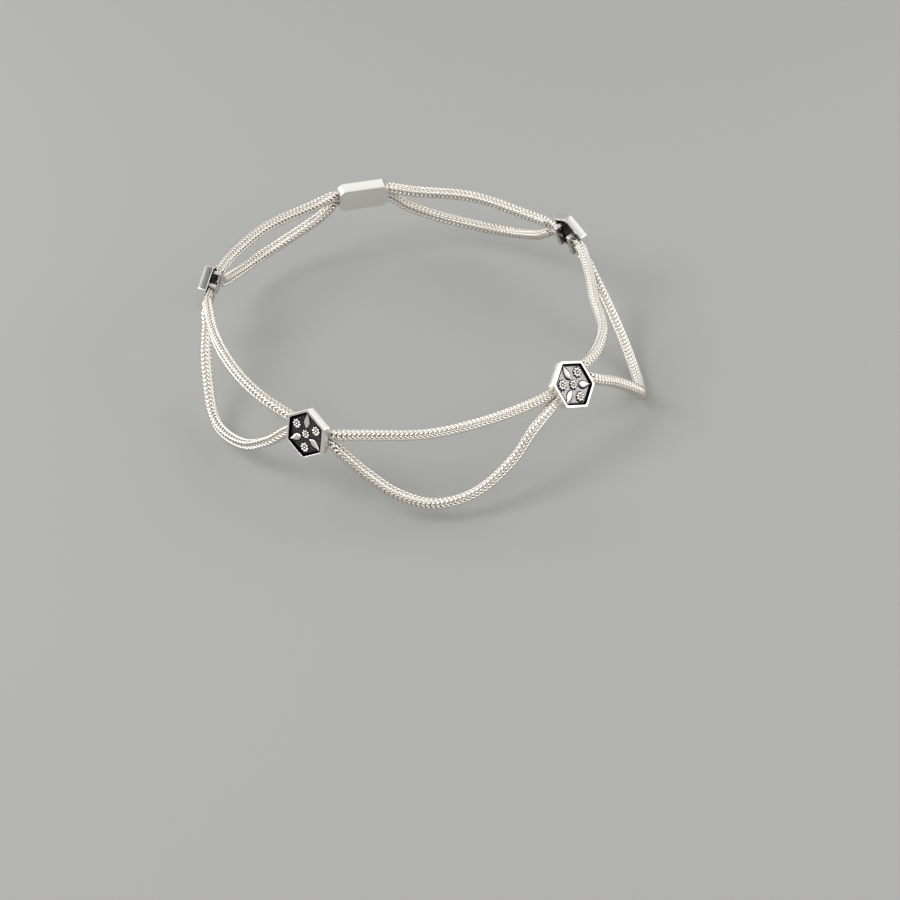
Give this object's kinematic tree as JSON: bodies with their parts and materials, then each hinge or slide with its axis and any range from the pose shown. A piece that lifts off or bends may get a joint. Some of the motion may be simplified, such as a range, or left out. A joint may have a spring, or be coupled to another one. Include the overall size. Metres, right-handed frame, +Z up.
{
  "type": "anklet",
  "caption": "Anklet of square foxtail chain in two strands, one tight and one in swags, gathered by hollow hexagonal stations with a sunk relief of florets and leaves.",
  "frame": {"origin": "middle of the tight strand's loop, on the ankle's axis", "axes": "+Z up along the ankle, +X to the right and -Y to the front, where two stations show"},
  "size_m": [0.0875, 0.0866, 0.0213],
  "materials": {
    "station_silver": "cast silver, polished rim, blackened ground under a raised relief",
    "plain_silver": "polished silver",
    "chain_silver": "bright silver, closely woven"
  },
  "bodies": {
    "root": {"station_1": "station_silver", "station_2": "station_silver", "station_3": "station_silver", "station_4": "station_silver", "clasp": "plain_silver", "upper_chain_1": "chain_silver", "upper_chain_2": "chain_silver", "upper_chain_3": "chain_silver", "upper_chain_4": "chain_silver", "upper_chain_5": "chain_silver", "swag_chain_1": "chain_silver", "swag_chain_2": "chain_silver", "swag_chain_3": "chain_silver", "swag_chain_4": "chain_silver", "swag_chain_5": "chain_silver"}
  },
  "joints": []
}
